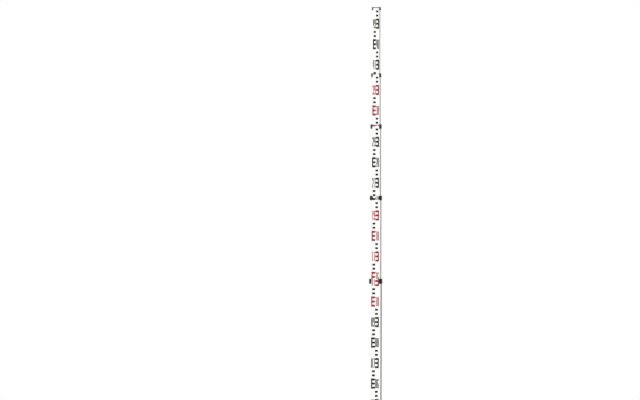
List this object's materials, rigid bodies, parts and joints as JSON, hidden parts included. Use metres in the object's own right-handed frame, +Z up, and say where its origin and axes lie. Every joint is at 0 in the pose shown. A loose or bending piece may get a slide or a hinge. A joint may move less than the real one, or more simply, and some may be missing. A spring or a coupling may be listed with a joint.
{
  "type": "leveling staff",
  "caption": "Telescopic aluminium leveling staff of nested rectangular tubes with black collars, an E-pattern scale on the front and spring-button locks at the rear, shown partly drawn out.",
  "frame": {"origin": "centre of the sole's bottom face, the zero of the scale", "axes": "+Z up along the staff, -Y the way the scale face looks, +X to the right of someone reading the scale"},
  "size_m": [0.061, 0.036, 2.461],
  "materials": {
    "base_aluminium": "anodised, brushed along its length",
    "section_aluminium": "clear anodised, brushed along its length",
    "scale_white": "white enamel on the scale bed",
    "scale_black": "printed scale marks",
    "scale_red": "printed scale marks",
    "black_moulding": "moulded, fine texture",
    "white_nylon": "moulded",
    "brass_button": "turned",
    "spring_steel": "drawn wire",
    "sole_steel": "ground, worn at the edges",
    "fastener_steel": "zinc plated"
  },
  "bodies": {
    "base": {"base_tube": "base_aluminium", "foot_shoe": "black_moulding", "foot_plate": "sole_steel", "foot_screws": "fastener_steel", "foot_rivets": "fastener_steel", "base_collar": "black_moulding", "base_collar_screws": "fastener_steel"},
    "second_section": {"second_tube": "section_aluminium", "second_collar": "black_moulding", "second_collar_screws": "fastener_steel", "second_bush": "white_nylon", "second_bush_rivets": "fastener_steel", "second_spring": "spring_steel"},
    "second_button_body": {"second_button": "brass_button"},
    "third_section": {"third_tube": "section_aluminium", "third_collar": "black_moulding", "third_collar_screws": "fastener_steel", "third_bush": "white_nylon", "third_bush_rivets": "fastener_steel", "third_spring": "spring_steel"},
    "third_button_body": {"third_button": "brass_button"},
    "fourth_section": {"fourth_tube": "section_aluminium", "fourth_collar": "black_moulding", "fourth_collar_screws": "fastener_steel", "fourth_bush": "white_nylon", "fourth_bush_rivets": "fastener_steel", "fourth_spring": "spring_steel"},
    "fourth_button_body": {"fourth_button": "brass_button"},
    "top_section": {"top_tube": "section_aluminium", "top_cap": "black_moulding", "top_cap_screws": "fastener_steel", "top_bush": "white_nylon", "top_bush_rivets": "fastener_steel", "top_spring": "spring_steel"},
    "top_button_body": {"top_button": "brass_button"}
  },
  "joints": [
    {"name": "second_slide", "type": "slide", "parent": "base", "child": "second_section", "axis": [0, 0, 1], "range_m": [-0.3825, 0.48]},
    {"name": "third_slide", "type": "slide", "parent": "second_section", "child": "third_section", "axis": [0, 0, 1], "range_m": [-0.3265, 0.641]},
    {"name": "fourth_slide", "type": "slide", "parent": "third_section", "child": "fourth_section", "axis": [0, 0, 1], "range_m": [-0.2295, 0.747]},
    {"name": "top_slide", "type": "slide", "parent": "fourth_section", "child": "top_section", "axis": [0, 0, 1], "range_m": [-0.3075, 0.677]},
    {"name": "second_button_press", "type": "slide", "parent": "second_section", "child": "second_button_body", "axis": [0, 1, 0], "range_m": [-0.001, 0], "stiffness_N_per_m": 1200, "springref_m": 0.0045, "deforming": ["second_spring"]},
    {"name": "third_button_press", "type": "slide", "parent": "third_section", "child": "third_button_body", "axis": [0, 1, 0], "range_m": [-0.001, 0], "stiffness_N_per_m": 1200, "springref_m": 0.0045, "deforming": ["third_spring"]},
    {"name": "fourth_button_press", "type": "slide", "parent": "fourth_section", "child": "fourth_button_body", "axis": [0, 1, 0], "range_m": [-0.001, 0], "stiffness_N_per_m": 1200, "springref_m": 0.0045, "deforming": ["fourth_spring"]},
    {"name": "top_button_press", "type": "slide", "parent": "top_section", "child": "top_button_body", "axis": [0, 1, 0], "range_m": [-0.001, 0], "stiffness_N_per_m": 1200, "springref_m": 0.0045, "deforming": ["top_spring"]}
  ]
}
